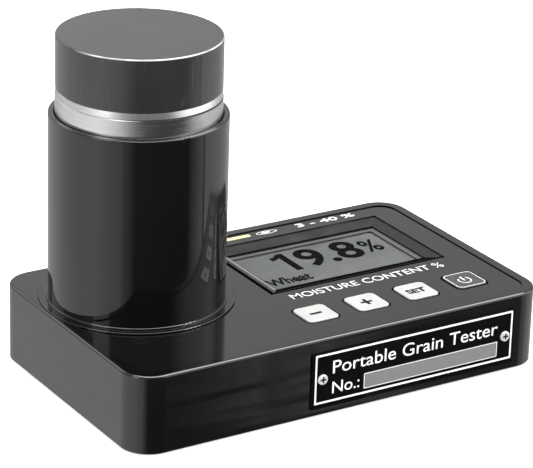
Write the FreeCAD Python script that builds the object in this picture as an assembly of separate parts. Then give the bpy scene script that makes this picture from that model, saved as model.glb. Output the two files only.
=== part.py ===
import FreeCAD, Part
import math
import os

# Benchtop grain moisture meter: a flat casing that carries a tall measuring barrel on the left
# and a display with four keys on the right. Millimetres. The origin is on the supporting surface,
# under the middle of the casing. +X runs along the long side, +Y to the back, +Z up.

V = FreeCAD.Vector

# Casing
base_length = 205.0
base_width = 122.7
base_height = 34.65
foot_stand = 0.6            # how far the rubber feet lift the casing
corner_radius = 13.0
wall = 2.5
top_thickness = 3.0
top_edge_radius = 1.2
cover_thickness = 3.0
cover_gap = 0.15

# Printed front sheet, sunk into the top
overlay_length = 194.8
overlay_width = 112.4
overlay_corner = 8.0
overlay_thickness = 0.5
overlay_sunk = 0.5          # depth of the sheet's face below the casing's rim
overlay_gap = 0.4

# Display
display_x = 39.5
display_y = 18.6
window_length = 89.5        # outer edge of the sloping surround
window_width = 55.4
view_length = 78.4          # inner edge of the sloping surround
view_width = 41.2
view_depth = 2.7            # depth of that inner edge below the rim
bezel_lip = 0.5
bezel_flange_length = 96.0
bezel_flange_width = 72.0
bezel_flange = 2.0
clear_window_thickness = 0.6
polarizer_length = 74.6
polarizer_width = 38.6
glass_length = 84.0
glass_width = 46.6
display_board_length = 93.0
display_board_width = 70.0
display_hole_pitch_x = 88.0
display_hole_pitch_y = 65.0

# Keys
key_length = 15.6
key_width = 15.2
key_corner = 2.6
key_pitch = 25.9
key_first_x = -1.2
key_y = -36.5
key_gap = 0.3
key_travel = 0.5
key_flange = 1.2            # rim under the casing that keeps the key in
key_dish_radius = 5.2
key_dish_depth = 0.25
switch_height = 3.5
plunger_low = 2.4           # plunger's lower end above the main board
plunger_top = 4.8
key_names = ("minus", "plus", "set", "power")

# Measuring barrel
barrel_x = -59.0
barrel_y = 16.5
sleeve_radius = 38.3
sleeve_inner = 35.75
sleeve_top = 118.6          # above the casing's lower edge, like the other barrel heights
sleeve_flange_radius = 42.4
sleeve_flange = 1.6         # part of the flange let into the casing
sleeve_flange_stand = 0.35  # part of it above the casing's top
sleeve_foot_radius = 39.3
sleeve_foot_height = 0.8
sleeve_screw_ring = 37.03
cup_radius = 35.45
cup_inner = 33.4
cup_groove_height = 126.5
cup_rim_radius = 34.87
cup_top = 129.8
cell_floor_height = 39.65
electrode_radius = 9.0
electrode_top = 98.0
probe_offset = 20.0         # from the barrel's axis to the thermometer probe

# Lid
lid_radius = 35.3
lid_top = 152.7
lid_wall = 3.2
plug_radius = 32.9
plug_depth = 12.0

# Boards and batteries
board_bottom = 20.0
board_thickness = 1.6
battery_x = 44.0
battery_y = 0.0
cell_radius = 7.25
cell_length = 49.5
nub_radius = 2.75
nub_length = 1.0
cell_count = 4
cell_pitch = 15.2
bay_length = 58.0
bay_wall = 1.5
bay_roof = 1.2
bay_top = 19.4
door_thickness = 2.0
door_gap = 0.3
door_hinge_gap = 0.75       # wider beside the hinge, where the door's edge swings past the cover
hinge_x = 12.6
hinge_z = 2.1
knuckle_radius = 1.5
pin_radius = 0.75

# Name plate on the front face
plate_x = 33.5
plate_z = 16.45
plate_length = 104.8
plate_height = 25.4
plate_thickness = 0.8
plate_screw_spacing = 94.5
plate_screw_z = 17.3

# Heights worked out from the sizes above
base_bottom = foot_stand
base_top = foot_stand + base_height
ceiling = base_top - top_thickness
cover_top = base_bottom + cover_thickness
overlay_top = base_top - overlay_sunk
overlay_bottom = overlay_top - overlay_thickness
board_top = board_bottom + board_thickness
bezel_bottom = base_top - view_depth - bezel_lip
glass_top = bezel_bottom - clear_window_thickness - 0.3
glass_bottom = glass_top - 2.0
display_board_top = glass_bottom - 3.3
display_board_bottom = display_board_top - board_thickness
cell_floor_top = foot_stand + cell_floor_height
cup_bottom = ceiling
cup_rim_z = foot_stand + cup_top
bay_width = cell_count * cell_pitch + 0.8
cell_centre_z = cover_top - 0.25 + cell_radius
case_screw_x = base_length / 2 - wall - 7.5
case_screw_y = base_width / 2 - wall - 7.5
board_x = (-14.0, 86.0)
board_y = (-50.0, 54.0)
foot_radius = 6.0
foot_x = 85.0
foot_y = 44.0
post_x = (-6.5, 81.5)
post_y = (-45.5, 45.5)


def box(x0, x1, y0, y1, z0, z1):
    return Part.makeBox(x1 - x0, y1 - y0, z1 - z0, V(x0, y0, z0))


def centred_box(cx, cy, length, width, z0, z1):
    return box(cx - length / 2, cx + length / 2, cy - width / 2, cy + width / 2, z0, z1)


def cylinder(radius, z0, z1, x=0.0, y=0.0):
    return Part.makeCylinder(radius, z1 - z0, V(x, y, z0))


def tube(outer, inner, z0, z1, x=0.0, y=0.0):
    return cylinder(outer, z0, z1, x, y).cut(cylinder(inner, z0, z1, x, y))


def upright_edges(shape):
    return [e for e in shape.Edges if abs(e.tangentAt(e.FirstParameter).z) > 0.999]


def edges_at_height(shape, z):
    return [e for e in shape.Edges if all(abs(v.Z - z) < 1e-6 for v in e.Vertexes)]


def rounded_box(cx, cy, length, width, z0, z1, radius):
    block = centred_box(cx, cy, length, width, z0, z1)
    return block.makeFillet(radius, upright_edges(block))


def join(shapes):
    solid = shapes[0]
    for other in shapes[1:]:
        solid = solid.fuse(other)
    return solid.removeSplitter()


def turned(profile, x, y):
    """A solid turned about an upright axis from (radius, height) points."""
    points = [V(r, 0, z) for r, z in profile]
    face = Part.Face(Part.makePolygon(points + [points[0]]))
    solid = face.revolve(V(0, 0, 0), V(0, 0, 1), 360)
    solid.translate(V(x, y, 0))
    return solid


def corners(dx, dy, cx=0.0, cy=0.0):
    return [(cx + sx * dx, cy + sy * dy) for sx in (-1, 1) for sy in (-1, 1)]


def key_centres():
    return [(key_first_x + i * key_pitch, key_y) for i in range(len(key_names))]


def post_centres():
    return [(x, y) for x in post_x for y in post_y]


def cell_rows():
    first = battery_y - (cell_count - 1) * cell_pitch / 2
    return [first + i * cell_pitch for i in range(cell_count)]


def screw(head_radius, head_height, shank_radius, length):
    """Pan-head screw with a cross recess, head up, its seat at height 0."""
    head = Part.makeCylinder(head_radius, head_height)
    head = head.makeFillet(head_height * 0.45, edges_at_height(head, head_height))
    slot = head_radius * 1.25
    deep = head_height * 0.55
    for a, b in ((slot, slot * 0.3), (slot * 0.3, slot)):
        head = head.cut(Part.makeBox(a, b, deep, V(-a / 2, -b / 2, head_height - deep)))
    shank = Part.makeCylinder(shank_radius, length, V(0, 0, -length))
    tip = shank.makeChamfer(shank_radius * 0.5, edges_at_height(shank, -length))
    return head.fuse(tip)


def screws_at(points, z, pattern, head_down=False):
    placed = []
    for x, y in points:
        one = pattern.copy()
        if head_down:
            one.rotate(V(0, 0, 0), V(1, 0, 0), 180)
        one.translate(V(x, y, z))
        placed.append(one)
    return Part.makeCompound(placed)


def overlay_outline(length, width, corner, z0, z1, ring_radius):
    """Sheet outline: the top's face without the ring round the barrel and the corner behind it."""
    sheet = rounded_box(0, 0, length, width, z0, z1, corner)
    sheet = sheet.cut(cylinder(ring_radius, z0, z1, barrel_x, barrel_y))
    behind = box(-base_length / 2, barrel_x, barrel_y, base_width / 2, z0, z1)
    return sheet.cut(behind)


def upper_housing():
    shell = rounded_box(0, 0, base_length, base_width, base_bottom, base_top, corner_radius)
    shell = shell.makeFillet(top_edge_radius, edges_at_height(shell, base_top))
    inner_length = base_length - 2 * wall
    inner_width = base_width - 2 * wall
    room = rounded_box(0, 0, inner_length, inner_width, base_bottom, ceiling, corner_radius - wall)
    shell = shell.cut(room)
    shell = shell.cut(overlay_outline(overlay_length, overlay_width, overlay_corner,
                                      overlay_bottom, base_top, sleeve_flange_radius - 1))
    seat = base_top - sleeve_flange
    shell = shell.cut(cylinder(sleeve_flange_radius + 0.2, seat, base_top, barrel_x, barrel_y))
    shell = shell.cut(cylinder(cup_radius + 0.15, ceiling, base_top, barrel_x, barrel_y))
    shell = shell.cut(rounded_box(display_x, display_y, window_length + 3.2, window_width + 3.2,
                                  ceiling, base_top, 2.0))
    for x, y in key_centres():
        shell = shell.cut(rounded_box(x, y, key_length + 2 * key_gap, key_width + 2 * key_gap,
                                      ceiling, base_top, key_corner + key_gap))
    for x, y in corners(case_screw_x, case_screw_y):
        shell = shell.fuse(cylinder(4.0, cover_top, ceiling, x, y))
        shell = shell.cut(cylinder(1.45, cover_top, ceiling - 4, x, y))
    for x, y in sleeve_screw_centres():
        shell = shell.cut(cylinder(1.1, ceiling, seat, x, y))
    for x in plate_screw_centres():
        hole = Part.makeCylinder(1.0, wall, V(x, -base_width / 2, plate_screw_z), V(0, 1, 0))
        shell = shell.cut(hole)
    return shell.removeSplitter()


def sleeve_screw_centres():
    ring = sleeve_screw_ring
    return [(barrel_x + ring * math.cos(a), barrel_y + ring * math.sin(a))
            for a in (math.pi / 4 + i * math.pi / 2 for i in range(4))]


def plate_screw_centres():
    return (plate_x - plate_screw_spacing / 2, plate_x + plate_screw_spacing / 2)


def bottom_cover():
    length = base_length - 2 * (wall + cover_gap)
    width = base_width - 2 * (wall + cover_gap)
    plate = rounded_box(0, 0, length, width, base_bottom, cover_top, corner_radius - wall - cover_gap)
    for x, y in post_centres():
        plate = plate.fuse(cylinder(3.2, cover_top, board_bottom, x, y))
        plate = plate.cut(cylinder(1.05, cover_top + 2, board_bottom, x, y))
    plate = plate.cut(centred_box(battery_x, battery_y, bay_length, bay_width, base_bottom, cover_top))
    for x, y in corners(foot_x, foot_y):
        plate = plate.cut(cylinder(foot_radius + 0.2, base_bottom, base_bottom + 1.0, x, y))
    for x, y in corners(case_screw_x, case_screw_y):
        plate = plate.cut(cylinder(3.3, base_bottom, base_bottom + 2.0, x, y))
        plate = plate.cut(cylinder(1.7, base_bottom, cover_top, x, y))
    for y0, y1 in knuckle_spans():
        plate = plate.cut(box(hinge_x - 2.0, battery_x, y0 - 0.3, y1 + 0.3, base_bottom, cover_top))
        plate = plate.cut(Part.makeCylinder(pin_radius + 0.02, y1 - y0 + 5,
                                            V(hinge_x, y0 - 2.5, hinge_z), V(0, 1, 0)))
    thumb_x = battery_x + bay_length / 2
    plate = plate.cut(centred_box(thumb_x, battery_y, 6, 16, base_bottom, base_bottom + 1.2))
    return plate.removeSplitter()


def knuckle_spans():
    return ((-24.0, -14.0), (14.0, 24.0))


def battery_door():
    half_width = bay_width / 2 - door_gap
    top = base_bottom + door_thickness
    edge = battery_x - bay_length / 2 + door_hinge_gap
    far_edge = battery_x + bay_length / 2 - door_gap
    door = box(edge, far_edge, battery_y - half_width, battery_y + half_width, base_bottom, top)
    for y0, y1 in knuckle_spans():
        knuckle = Part.makeCylinder(knuckle_radius, y1 - y0, V(hinge_x, y0, hinge_z), V(0, 1, 0))
        arm = box(hinge_x, edge + 1, y0, y1, base_bottom, top)
        door = door.fuse(knuckle.fuse(arm))
        door = door.cut(Part.makeCylinder(pin_radius + 0.05, y1 - y0, V(hinge_x, y0, hinge_z), V(0, 1, 0)))
    for i in range(6):
        x = far_edge - 6 - 2.2 * i
        door = door.cut(centred_box(x, battery_y, 1.0, 18, base_bottom, base_bottom + 0.5))
    return door.removeSplitter()


def hinge_pins():
    pins = [Part.makeCylinder(pin_radius, y1 - y0 + 4, V(hinge_x, y0 - 2, hinge_z), V(0, 1, 0))
            for y0, y1 in knuckle_spans()]
    return Part.makeCompound(pins)


def door_pad():
    top = base_bottom + door_thickness
    return centred_box(battery_x, battery_y, 30, bay_width - 8, top, top + 0.5)


def rubber_feet():
    feet = []
    for x, y in corners(foot_x, foot_y):
        foot = cylinder(foot_radius, 0, base_bottom + 1.0, x, y)
        feet.append(foot.makeChamfer(0.4, edges_at_height(foot, 0)))
    return Part.makeCompound(feet)


def case_screws():
    return screws_at(corners(case_screw_x, case_screw_y), base_bottom + 2.0, screw(2.9, 1.8, 1.4, 15), True)


def front_overlay():
    sheet = overlay_outline(overlay_length - 2 * overlay_gap, overlay_width - 2 * overlay_gap,
                            overlay_corner - overlay_gap, overlay_bottom, overlay_top,
                            sleeve_flange_radius + 0.4)
    behind = box(-base_length / 2, barrel_x + overlay_gap, barrel_y - overlay_gap, base_width / 2,
                 overlay_bottom, overlay_top)
    sheet = sheet.cut(behind)
    sheet = sheet.cut(centred_box(display_x, display_y, window_length, window_width,
                                  overlay_bottom, overlay_top))
    for x, y in key_centres():
        sheet = sheet.cut(rounded_box(x, y, key_length + 2 * key_gap, key_width + 2 * key_gap,
                                      overlay_bottom, overlay_top, key_corner + key_gap))
    return sheet


def rectangle(cx, cy, length, width, z):
    x0, x1 = cx - length / 2, cx + length / 2
    y0, y1 = cy - width / 2, cy + width / 2
    return Part.makePolygon([V(x0, y0, z), V(x1, y0, z), V(x1, y1, z), V(x0, y1, z), V(x0, y0, z)])


def display_bezel():
    """Sloping surround of the display, with the flange and posts that hold the display module."""
    frame = rounded_box(display_x, display_y, window_length + 2.8, window_width + 2.8,
                        ceiling - bezel_flange, overlay_bottom, 1.8)
    flange = centred_box(display_x, display_y, bezel_flange_length, bezel_flange_width,
                         ceiling - bezel_flange, ceiling - 0.02)
    frame = frame.fuse(flange)
    for x, y in display_posts():
        frame = frame.fuse(cylinder(3.0, display_board_top, ceiling - bezel_flange, x, y))
        frame = frame.cut(cylinder(1.05, display_board_top, ceiling - bezel_flange, x, y))
    view_z = base_top - view_depth
    slope = Part.makeLoft([rectangle(display_x, display_y, view_length, view_width, view_z),
                           rectangle(display_x, display_y, window_length, window_width, overlay_bottom)],
                          True, True)
    frame = frame.cut(slope)
    frame = frame.cut(centred_box(display_x, display_y, view_length, view_width, bezel_bottom, view_z))
    frame = frame.cut(centred_box(display_x, display_y, glass_length + 2.4, glass_width + 2.4,
                                  ceiling - bezel_flange, bezel_bottom))
    return frame


def display_posts():
    return corners(display_hole_pitch_x / 2, display_hole_pitch_y / 2, display_x, display_y)


def display_window():
    return centred_box(display_x, display_y, glass_length + 2, glass_width + 2,
                       bezel_bottom - clear_window_thickness, bezel_bottom)


def lcd_polarizer():
    return centred_box(display_x, display_y, polarizer_length, polarizer_width, glass_top, glass_top + 0.2)


def lcd_glass():
    return centred_box(display_x, display_y, glass_length, glass_width, glass_bottom, glass_top)


def lcd_backlight():
    return centred_box(display_x, display_y, glass_length, glass_width, display_board_top, glass_bottom)


def lcd_frame():
    """Pressed steel frame that clamps the glass and the backlight to the display board."""
    skin = 0.4
    outer = centred_box(display_x, display_y, glass_length + 0.4 + 2 * skin, glass_width + 0.4 + 2 * skin,
                        display_board_top, glass_top + 0.2)
    inner = centred_box(display_x, display_y, glass_length + 0.4, glass_width + 0.4,
                        display_board_top, glass_top)
    opening = centred_box(display_x, display_y, view_length + 1.6, view_width + 1.6,
                          glass_top, glass_top + 0.2)
    return outer.cut(inner).cut(opening)


def display_board():
    board = centred_box(display_x, display_y, display_board_length, display_board_width,
                        display_board_bottom, display_board_top)
    for x, y in display_posts():
        board = board.cut(cylinder(1.3, display_board_bottom, display_board_top, x, y))
    return board


def display_screws():
    return screws_at(display_posts(), display_board_bottom, screw(2.2, 1.3, 1.0, 5.0), True)


def display_header():
    """Twenty-way pin header that joins the display board to the main board."""
    y = display_y + display_board_width / 2 - 3.5
    strip = centred_box(display_x, y, 51, 2.5, board_top, display_board_bottom)
    return strip


def main_board():
    board = box(*board_x, *board_y, board_bottom, board_top)
    for x, y in post_centres():
        board = board.cut(cylinder(1.3, board_bottom, board_top, x, y))
    return board


def board_screws():
    return screws_at(post_centres(), board_top, screw(2.3, 1.2, 1.0, 8.0))


def board_chips():
    """Controller, memory, regulator and clock chip: x, y, length, width and height of each."""
    places = ((20, 5, 12, 12, 1.4), (48, 20, 10, 8, 1.4), (66, 2, 6, 8, 1.2), (8, 26, 7, 5, 1.2))
    return Part.makeCompound([centred_box(x, y, a, b, board_top, board_top + h) for x, y, a, b, h in places])


def buzzer():
    height = 8.0
    sound_hole = 1.2
    can = cylinder(6.0, board_bottom - height, board_bottom)
    return can.cut(cylinder(sound_hole, board_bottom - height, board_bottom - height + 2.0))


def tact_switches():
    well = board_top + plunger_low - key_travel - 0.2
    bodies = []
    for x, y in key_centres():
        body = centred_box(x, y, 6, 6, board_top, board_top + switch_height)
        bodies.append(body.cut(cylinder(1.7, well, board_top + switch_height, x, y)))
    return Part.makeCompound(bodies)


def key(x, y):
    cap = rounded_box(x, y, key_length, key_width, ceiling - 0.05 - key_flange, base_top, key_corner)
    cap = cap.makeFillet(0.4, edges_at_height(cap, base_top))
    ball = (key_dish_radius ** 2 + key_dish_depth ** 2) / (2 * key_dish_depth)
    cap = cap.cut(Part.makeSphere(ball, V(x, y, base_top - key_dish_depth + ball)))
    rim = rounded_box(x, y, key_length + 2.4, key_width + 2.4, ceiling - 0.05 - key_flange,
                      ceiling - 0.05, key_corner + 1.2)
    stem = cylinder(2.0, board_top + plunger_top, ceiling - 0.05 - key_flange, x, y)
    return join([cap, rim, stem])


def switch_plunger(x, y):
    return cylinder(1.6, board_top + plunger_low, board_top + plunger_top, x, y)


def battery_holder():
    """Tray over the cells, open downwards to the battery door."""
    outer = centred_box(battery_x, battery_y, bay_length + 2 * bay_wall, bay_width + 2 * bay_wall,
                        cover_top, bay_top)
    room = centred_box(battery_x, battery_y, bay_length, bay_width, cover_top, bay_top - bay_roof)
    tray = outer.cut(room)
    rows = cell_rows()
    for i in range(cell_count - 1):
        y = (rows[i] + rows[i + 1]) / 2
        rib = centred_box(battery_x, y, bay_length - 18, 0.5, cell_centre_z, bay_top - bay_roof)
        tray = tray.fuse(rib)
    for y in (rows[0], rows[-1]):
        tray = tray.cut(centred_box(battery_x + bay_length / 2 - 0.3, y, 0.6, 3.4,
                                    bay_top - bay_roof, bay_top))
    return tray.removeSplitter()


def battery_cell(y, direction):
    """One round cell along X; direction is +1 where its raised end points to +X."""
    slack = bay_length / 2 - 0.7
    nub_end = battery_x + direction * slack
    shoulder = nub_end - direction * nub_length
    axis = V(-direction, 0, 0)
    body = Part.makeCylinder(cell_radius, cell_length, V(shoulder, y, cell_centre_z), axis)
    body = body.makeFillet(0.5, [e for e in body.Edges if len(e.Vertexes) == 1])
    nub = Part.makeCylinder(nub_radius, nub_length + 0.5, V(nub_end, y, cell_centre_z), axis)
    return body.fuse(nub)


def battery_cells():
    return Part.makeCompound([battery_cell(y, 1 if i % 2 else -1) for i, y in enumerate(cell_rows())])


def battery_springs():
    """C-shaped leaf springs that press on the flat ends of the cells."""
    strip = 0.35
    leaf_width = 6.0
    contact_face = bay_length / 2 - 0.45
    flat_end = bay_length / 2 - 0.7 - nub_length - cell_length
    radius = (contact_face + flat_end) / 2 - 0.05
    springs = []
    for i, y in enumerate(cell_rows()):
        side = 1 if i % 2 == 0 else -1
        middle = V(battery_x + side * (contact_face - flat_end) / 2, y - leaf_width / 2, cell_centre_z)
        leaf = Part.makeCylinder(radius, leaf_width, middle, V(0, 1, 0))
        leaf = leaf.cut(Part.makeCylinder(radius - strip, leaf_width, middle, V(0, 1, 0)))
        mouth = centred_box(middle.x, y, radius, leaf_width, cell_centre_z - 2 * radius, cell_centre_z)
        springs.append(leaf.cut(mouth))
    return Part.makeCompound(springs)


def battery_contacts():
    """Spring-steel plates at both ends of the bay; two end plates have tails to the main board."""
    rows = cell_rows()
    thickness = 0.4
    low = cell_centre_z - 4.5
    high = cell_centre_z + 4.5
    near = battery_x - bay_length / 2
    far = battery_x + bay_length / 2 - thickness
    plates = [box(near, near + thickness, rows[0] - 4.5, rows[1] + 4.5, low, high),
              box(near, near + thickness, rows[2] - 4.5, rows[3] + 4.5, low, high),
              box(far, far + thickness, rows[1] - 4.5, rows[2] + 4.5, low, high)]
    for y in (rows[0], rows[3]):
        end = box(far, far + thickness, y - 4.5, y + 4.5, low, high)
        tail = box(far, far + thickness, y - 1.5, y + 1.5, high, board_bottom)
        plates.append(end.fuse(tail).removeSplitter())
    return Part.makeCompound(plates)


def nameplate():
    y = -base_width / 2
    plate = box(plate_x - plate_length / 2, plate_x + plate_length / 2, y - plate_thickness, y,
                plate_z - plate_height / 2, plate_z + plate_height / 2)
    for x in plate_screw_centres():
        plate = plate.cut(Part.makeCylinder(1.1, plate_thickness, V(x, y, plate_screw_z), V(0, -1, 0)))
    return plate


def nameplate_screws():
    placed = []
    for x in plate_screw_centres():
        one = screw(2.3, 1.1, 0.95, 5.0)
        one.rotate(V(0, 0, 0), V(1, 0, 0), 90)
        one.translate(V(x, -base_width / 2 - plate_thickness, plate_screw_z))
        placed.append(one)
    return Part.makeCompound(placed)


def barrel_sleeve():
    """Tube with a rounded foot on a flange that is let into the casing's top."""
    top = foot_stand + sleeve_top
    bottom = base_top - sleeve_flange
    flange_top = base_top + sleeve_flange_stand
    foot_top = flange_top + sleeve_foot_height
    flange = cylinder(sleeve_flange_radius, bottom, flange_top, barrel_x, barrel_y)
    flange = flange.makeFillet(0.3, edges_at_height(flange, flange_top))
    foot = cylinder(sleeve_foot_radius, bottom, foot_top, barrel_x, barrel_y)
    foot = foot.makeFillet(0.55, edges_at_height(foot, foot_top))
    wall_tube = cylinder(sleeve_radius, bottom, top, barrel_x, barrel_y)
    sleeve = join([flange, foot, wall_tube]).cut(cylinder(sleeve_inner, bottom, top, barrel_x, barrel_y))
    sleeve = sleeve.makeFillet(0.6, edges_at_height(sleeve, top))
    for x, y in sleeve_screw_centres():
        sleeve = sleeve.cut(cylinder(0.85, bottom, base_top + 6, x, y))
    return sleeve


def sleeve_screws():
    return screws_at(sleeve_screw_centres(), ceiling - 3.0, screw(2.0, 1.3, 0.8, 11.5), True)


def measuring_cylinder():
    """Turned aluminium cup wall, which is also the outer electrode."""
    groove = foot_stand + cup_groove_height
    profile = [(cup_inner, cup_bottom), (cup_radius, cup_bottom), (cup_radius, groove - 0.3),
               (cup_radius - 0.3, groove), (cup_radius - 0.1, groove + 0.25), (cup_rim_radius, cup_rim_z - 0.3),
               (cup_rim_radius - 0.3, cup_rim_z), (cup_inner + 0.4, cup_rim_z), (cup_inner, cup_rim_z - 0.4)]
    return turned(profile, barrel_x, barrel_y)


def cell_floor():
    """Insulating floor of the measuring cell, clamped under the casing's top."""
    flange_radius = 40.0
    flange = 3.0
    floor = cylinder(flange_radius, ceiling - flange, ceiling, barrel_x, barrel_y)
    floor = floor.fuse(cylinder(cup_inner - 0.03, ceiling, cell_floor_top, barrel_x, barrel_y))
    for x, y in leg_centres():
        floor = floor.fuse(cylinder(3.0, board_top, ceiling - flange, x, y))
        floor = floor.cut(cylinder(1.05, board_top, ceiling - flange, x, y))
    floor = floor.cut(cylinder(3.2, ceiling - flange, cell_floor_top, barrel_x, barrel_y))
    floor = floor.cut(cylinder(2.05, ceiling - flange, cell_floor_top, barrel_x, barrel_y - probe_offset))
    for x, y in sleeve_screw_centres():
        floor = floor.cut(cylinder(1.3, ceiling - flange, ceiling, x, y))
    return floor.removeSplitter()


def leg_centres():
    ring = 22.0
    return [(barrel_x + ring * math.cos(a), barrel_y + ring * math.sin(a))
            for a in (math.pi / 2 + i * 2 * math.pi / 3 for i in range(3))]


def centre_electrode():
    top = foot_stand + electrode_top
    seat = cell_floor_top + 0.8
    body = cylinder(electrode_radius, seat, top, barrel_x, barrel_y)
    body = body.makeFillet(4.0, edges_at_height(body, top))
    return body.fuse(cylinder(3.0, 22.6, seat, barrel_x, barrel_y))


def electrode_washer():
    return tube(electrode_radius, 3.2, cell_floor_top, cell_floor_top + 0.8, barrel_x, barrel_y)


def electrode_nut():
    across_corners = 11.5
    nut = Part.Face(Part.makePolygon([V(across_corners / 2 * math.cos(a), across_corners / 2 * math.sin(a), 0)
                                      for a in (i * math.pi / 3 for i in range(7))])).extrude(V(0, 0, 5))
    nut = nut.cut(cylinder(3.05, 0, 5))
    nut.translate(V(barrel_x, barrel_y, ceiling - 3.0 - 5.0))
    return nut


def temperature_probe():
    probe = cylinder(2.0, ceiling - 8, cell_floor_top + 6.5, barrel_x, barrel_y - probe_offset)
    return probe.makeFillet(1.6, edges_at_height(probe, cell_floor_top + 6.5))


def cell_board():
    board = cylinder(27.0, board_bottom, board_top, barrel_x, barrel_y)
    for x, y in leg_centres():
        board = board.cut(cylinder(1.3, board_bottom, board_top, x, y))
    return board.cut(cylinder(4.0, board_bottom, board_top, barrel_x, barrel_y))


def cell_board_screws():
    return screws_at(leg_centres(), board_bottom, screw(2.2, 1.3, 1.0, 6.0), True)


def ribbon_sockets():
    height = 3.0
    return Part.makeCompound([centred_box(x, barrel_y, 5.0, 14.0, board_top, board_top + height)
                              for x in ribbon_ends()])


def ribbon_ends():
    return (barrel_x + 27.0 - 3.5, -11.0)


def signal_ribbon():
    """Flat cable from the cell board to the main board: two short bends and a level run."""
    x0, x1 = ribbon_ends()
    bend = 3.0
    thickness = 0.9
    width = 12.0
    z0 = board_top + 3.0
    y0 = barrel_y - width / 2
    level = z0 + bend
    pieces = [box(x0 + bend, x1 - bend, y0, y0 + width, level - thickness / 2, level + thickness / 2)]
    for x, turn in ((x0 + bend, -1), (x1 - bend, 1)):
        ring = Part.makeCylinder(bend + thickness / 2, width, V(x, y0, z0), V(0, 1, 0))
        ring = ring.cut(Part.makeCylinder(bend - thickness / 2, width, V(x, y0, z0), V(0, 1, 0)))
        low_x = min(x, x + turn * 2 * bend)
        quarter = box(low_x, low_x + 2 * bend, y0, y0 + width, z0, z0 + 2 * bend)
        pieces.append(ring.common(quarter))
    return join(pieces)


def lid_cap():
    top = foot_stand + lid_top
    cap = cylinder(lid_radius, cup_rim_z, top, barrel_x, barrel_y)
    cap = cap.makeFillet(0.7, edges_at_height(cap, top))
    cap = cap.makeChamfer(0.25, edges_at_height(cap, cup_rim_z))
    return cap.cut(cylinder(lid_radius - lid_wall, cup_rim_z, top - lid_wall, barrel_x, barrel_y))


def lid_plug():
    """Closed plug that is pressed into the cap and reaches down into the cup."""
    skirt = 2.5
    bottom = cup_rim_z - plug_depth
    spigot = lid_radius - lid_wall - 0.02
    groove_z = bottom + 4.0
    profile = [(0, bottom), (plug_radius - 0.6, bottom), (plug_radius, bottom + 0.6),
               (plug_radius, groove_z), (plug_radius - 1.4, groove_z), (plug_radius - 1.4, groove_z + 2.4),
               (plug_radius, groove_z + 2.4), (plug_radius, cup_rim_z), (spigot, cup_rim_z),
               (spigot, cup_rim_z + 7), (spigot - skirt, cup_rim_z + 7), (spigot - skirt, bottom + skirt),
               (0, bottom + skirt)]
    return turned(profile, barrel_x, barrel_y)


def lid_seal():
    """O-ring in the plug's groove."""
    section = 0.8
    ring = Part.makeTorus(plug_radius - 1.4 + section + 0.02, section)
    ring.translate(V(barrel_x, barrel_y, cup_rim_z - plug_depth + 4.0 + 1.2))
    return ring


def all_parts():
    parts = {
        "upper_housing": upper_housing(),
        "bottom_cover": bottom_cover(),
        "rubber_feet": rubber_feet(),
        "case_screws": case_screws(),
        "front_overlay": front_overlay(),
        "display_bezel": display_bezel(),
        "display_window": display_window(),
        "lcd_polarizer": lcd_polarizer(),
        "lcd_glass": lcd_glass(),
        "lcd_backlight": lcd_backlight(),
        "lcd_frame": lcd_frame(),
        "display_board": display_board(),
        "display_screws": display_screws(),
        "display_header": display_header(),
        "main_board": main_board(),
        "board_screws": board_screws(),
        "board_chips": board_chips(),
        "buzzer": buzzer(),
        "tact_switches": tact_switches(),
        "battery_holder": battery_holder(),
        "battery_cells": battery_cells(),
        "battery_springs": battery_springs(),
        "battery_contacts": battery_contacts(),
        "battery_door": battery_door(),
        "battery_door_pad": door_pad(),
        "hinge_pins": hinge_pins(),
        "nameplate": nameplate(),
        "nameplate_screws": nameplate_screws(),
        "barrel_sleeve": barrel_sleeve(),
        "sleeve_screws": sleeve_screws(),
        "measuring_cylinder": measuring_cylinder(),
        "cell_floor": cell_floor(),
        "centre_electrode": centre_electrode(),
        "electrode_washer": electrode_washer(),
        "electrode_nut": electrode_nut(),
        "temperature_probe": temperature_probe(),
        "cell_board": cell_board(),
        "cell_board_screws": cell_board_screws(),
        "ribbon_sockets": ribbon_sockets(),
        "signal_ribbon": signal_ribbon(),
        "lid_cap": lid_cap(),
        "lid_plug": lid_plug(),
        "lid_seal": lid_seal(),
    }
    for name, (x, y) in zip(key_names, key_centres()):
        parts["key_" + name] = key(x, y)
        parts["switch_plunger_" + name] = switch_plunger(x, y)
    return parts


os.makedirs("parts", exist_ok=True)
for node, shape in all_parts().items():
    shape.exportStep("parts/" + node + ".step")
    valid = all(s.isValid() and s.Volume > 0 for s in shape.Solids)
    print(node, len(shape.Solids), "solids,", round(shape.Volume, 1), "mm3", "" if valid else "INVALID")
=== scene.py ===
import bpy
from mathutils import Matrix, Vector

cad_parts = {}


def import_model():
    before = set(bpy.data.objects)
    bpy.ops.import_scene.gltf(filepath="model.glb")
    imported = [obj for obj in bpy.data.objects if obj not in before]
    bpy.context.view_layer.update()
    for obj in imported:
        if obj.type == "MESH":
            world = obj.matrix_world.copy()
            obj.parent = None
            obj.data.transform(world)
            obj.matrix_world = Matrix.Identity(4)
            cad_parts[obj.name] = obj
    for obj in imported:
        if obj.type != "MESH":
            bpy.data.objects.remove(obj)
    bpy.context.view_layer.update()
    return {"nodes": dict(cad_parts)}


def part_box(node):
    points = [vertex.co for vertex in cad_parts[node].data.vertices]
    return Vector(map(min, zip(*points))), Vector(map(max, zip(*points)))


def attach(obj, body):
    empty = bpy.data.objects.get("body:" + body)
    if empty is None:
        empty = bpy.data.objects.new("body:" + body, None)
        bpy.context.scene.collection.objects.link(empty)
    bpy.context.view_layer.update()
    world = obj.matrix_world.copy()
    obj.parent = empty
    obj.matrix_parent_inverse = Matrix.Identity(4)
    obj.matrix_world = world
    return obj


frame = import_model()

import bpy
import bmesh
import math
from mathutils import Matrix, Vector

MM = 0.001
scene = bpy.context.scene
nodes = frame["nodes"]


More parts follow.
